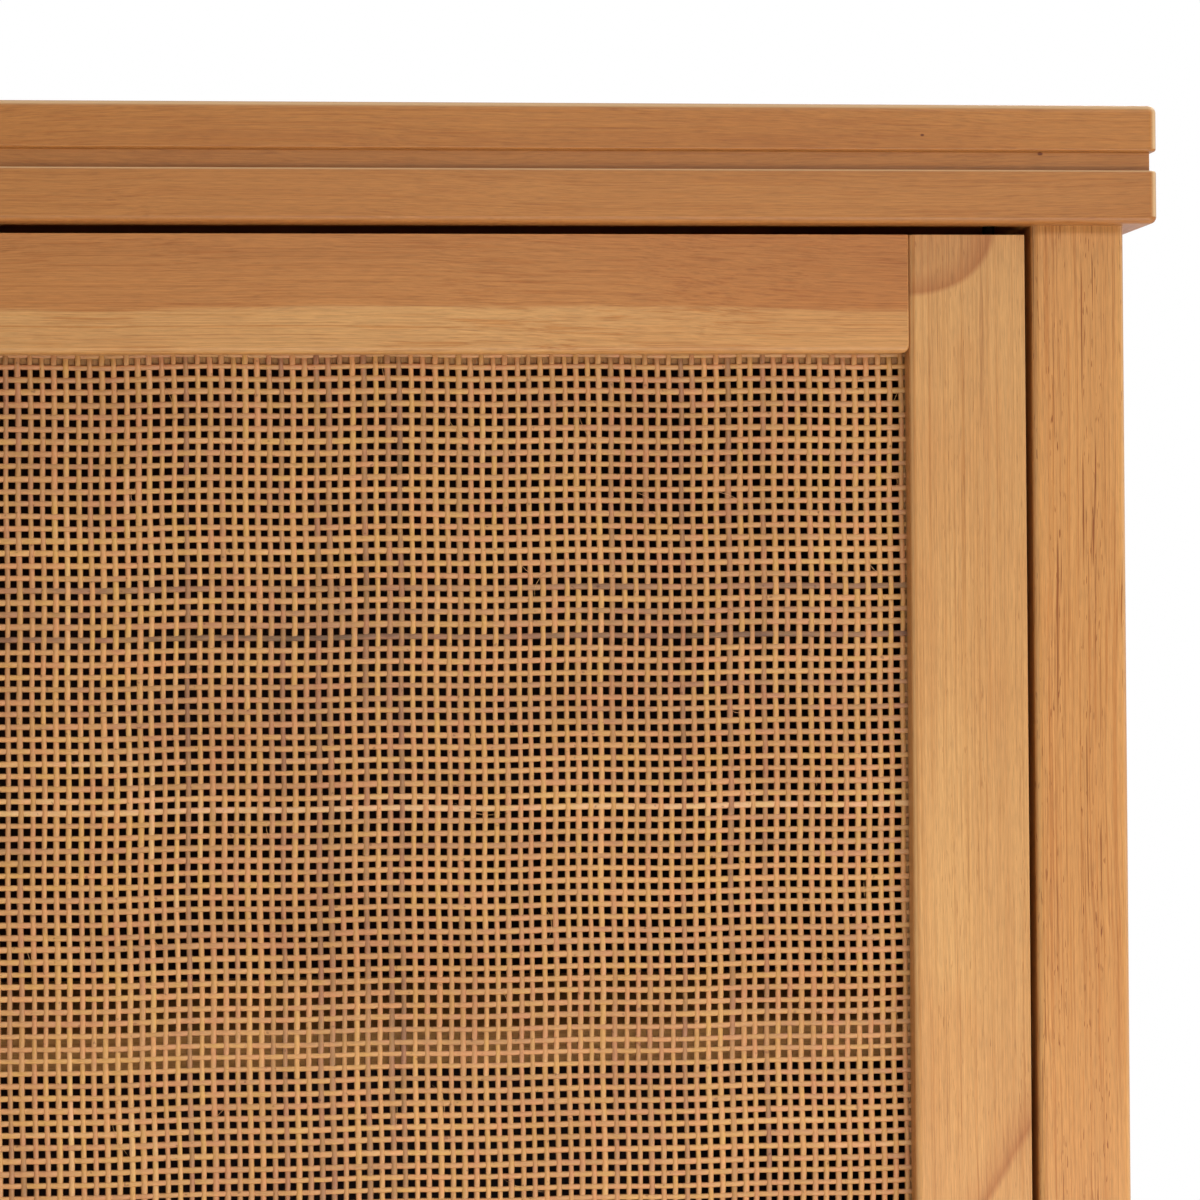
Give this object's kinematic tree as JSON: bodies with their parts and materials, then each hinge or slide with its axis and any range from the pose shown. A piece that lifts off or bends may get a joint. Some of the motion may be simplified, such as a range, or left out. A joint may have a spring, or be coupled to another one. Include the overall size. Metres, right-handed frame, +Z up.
{
  "type": "shoe cabinet",
  "caption": "Free-standing pine shoe cabinet with inset woven cane doors on pivots, shelves on pegs and a grooved top on square legs.",
  "frame": {"origin": "on the floor, under the middle of the outer box, knobs included", "axes": "+Z up, doors face -Y, +X to the right seen from the front"},
  "size_m": [1.12, 0.373, 0.97],
  "materials": {
    "pine_top": "satin lacquer",
    "pine_frame": "satin lacquer",
    "pine_door": "satin lacquer",
    "pine_inside": "thin lacquer",
    "stained_back": "dark stain",
    "cane": "woven peeled cane",
    "steel": "zinc plated",
    "brass": "turned",
    "catch_plastic": "moulded",
    "magnet": "ground",
    "glide_plastic": "moulded"
  },
  "bodies": {
    "carcass": {"back_muntin": "stained_back", "back_panel_left": "stained_back", "back_panel_right": "stained_back", "back_rail_lower": "stained_back", "back_rail_upper": "stained_back", "bottom_panel": "pine_inside", "bracket_screws": "steel", "catch_housing_left": "catch_plastic", "catch_housing_right": "catch_plastic", "catch_magnets": "magnet", "centre_partition": "pine_inside", "foot_glides": "glide_plastic", "front_bottom_rail": "pine_frame", "partition_screws": "steel", "pivot_bushes": "brass", "post_back_left": "pine_frame", "post_back_right": "pine_frame", "post_front_left": "pine_frame", "post_front_right": "pine_frame", "shelf_lower_left": "pine_inside", "shelf_lower_right": "pine_inside", "shelf_pegs": "steel", "shelf_upper_left": "pine_inside", "shelf_upper_right": "pine_inside", "side_panel_left": "pine_frame", "side_panel_right": "pine_frame", "side_rail_lower_left": "pine_frame", "side_rail_lower_right": "pine_frame", "side_rail_upper_left": "pine_frame", "side_rail_upper_right": "pine_frame", "top_board": "pine_top", "top_brackets": "steel", "top_frame_back": "pine_top", "top_frame_front": "pine_top", "top_frame_left": "pine_top", "top_frame_right": "pine_top", "top_spacer_strips": "pine_top"},
    "door_right": {"door_meeting_stile_right": "pine_door", "door_outer_stile_right": "pine_door", "door_top_rail_right": "pine_door", "door_bottom_rail_right": "pine_door", "cane_panel_right": "cane", "cane_beads_right": "pine_door", "knob_right": "pine_door", "knob_screw_right": "steel", "strike_plate_right": "steel", "pivot_pins_right": "steel"},
    "door_left": {"door_meeting_stile_left": "pine_door", "door_outer_stile_left": "pine_door", "door_top_rail_left": "pine_door", "door_bottom_rail_left": "pine_door", "cane_panel_left": "cane", "cane_beads_left": "pine_door", "knob_left": "pine_door", "knob_screw_left": "steel", "strike_plate_left": "steel", "pivot_pins_left": "steel"}
  },
  "joints": [
    {"name": "door_right_hinge", "type": "hinge", "parent": "carcass", "child": "door_right", "pos_m": [0.491, -0.1535, 0.5], "axis": [0, 0, 1], "range_deg": [0, 110]},
    {"name": "door_left_hinge", "type": "hinge", "parent": "carcass", "child": "door_left", "pos_m": [-0.491, -0.1535, 0.5], "axis": [0, 0, -1], "range_deg": [0, 110]}
  ]
}
